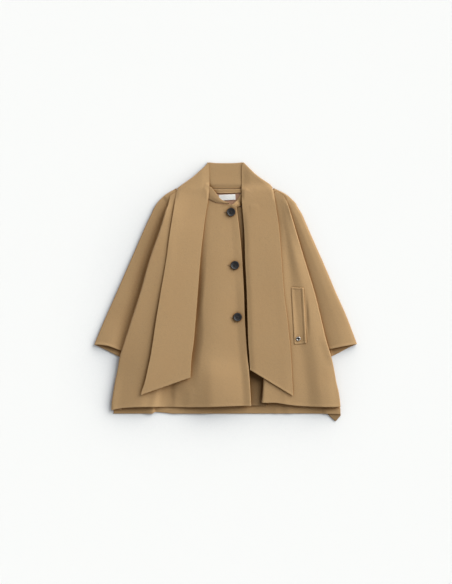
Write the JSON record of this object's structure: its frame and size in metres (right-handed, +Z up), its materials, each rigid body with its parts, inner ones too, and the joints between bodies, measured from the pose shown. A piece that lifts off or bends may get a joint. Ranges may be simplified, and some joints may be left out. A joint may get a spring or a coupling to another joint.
{
  "type": "cape coat with elbow-length sleeves and scarf collar, laid flat",
  "caption": "wool cape coat buttoned up the front and laid flat on a surface, wide elbow-length sleeves, long scarf collar whose two ties hang down the fronts, welt pocket",
  "frame": {"origin": "on the surface the coat lies on, under the middle of its outline", "axes": "+Z up from the surface, out of the coat's front; +Y from hem to collar; +X towards the wearer's left side"},
  "size_m": [0.7758, 0.7666, 0.0238],
  "materials": {
    "camel_wool": "brushed wool coating, camel",
    "lining": "smooth lining, reddish brown",
    "label": "woven label, bare white",
    "button": "four-hole button, near black, satin",
    "steel": "small round rivet, satin"
  },
  "bodies": {
    "root": {"back": "camel_wool", "front_right": "camel_wool", "front_left": "camel_wool", "underlap": "camel_wool", "sleeve_right": "camel_wool", "sleeve_left": "camel_wool", "scarf_collar": "camel_wool", "neckband_right": "camel_wool", "neckband_left": "camel_wool", "neckband_back": "camel_wool", "pocket_welt": "camel_wool", "pocket_rivet": "steel", "lining": "lining", "label": "label", "button_top": "button", "button_middle": "button", "button_bottom": "button"}
  },
  "joints": []
}
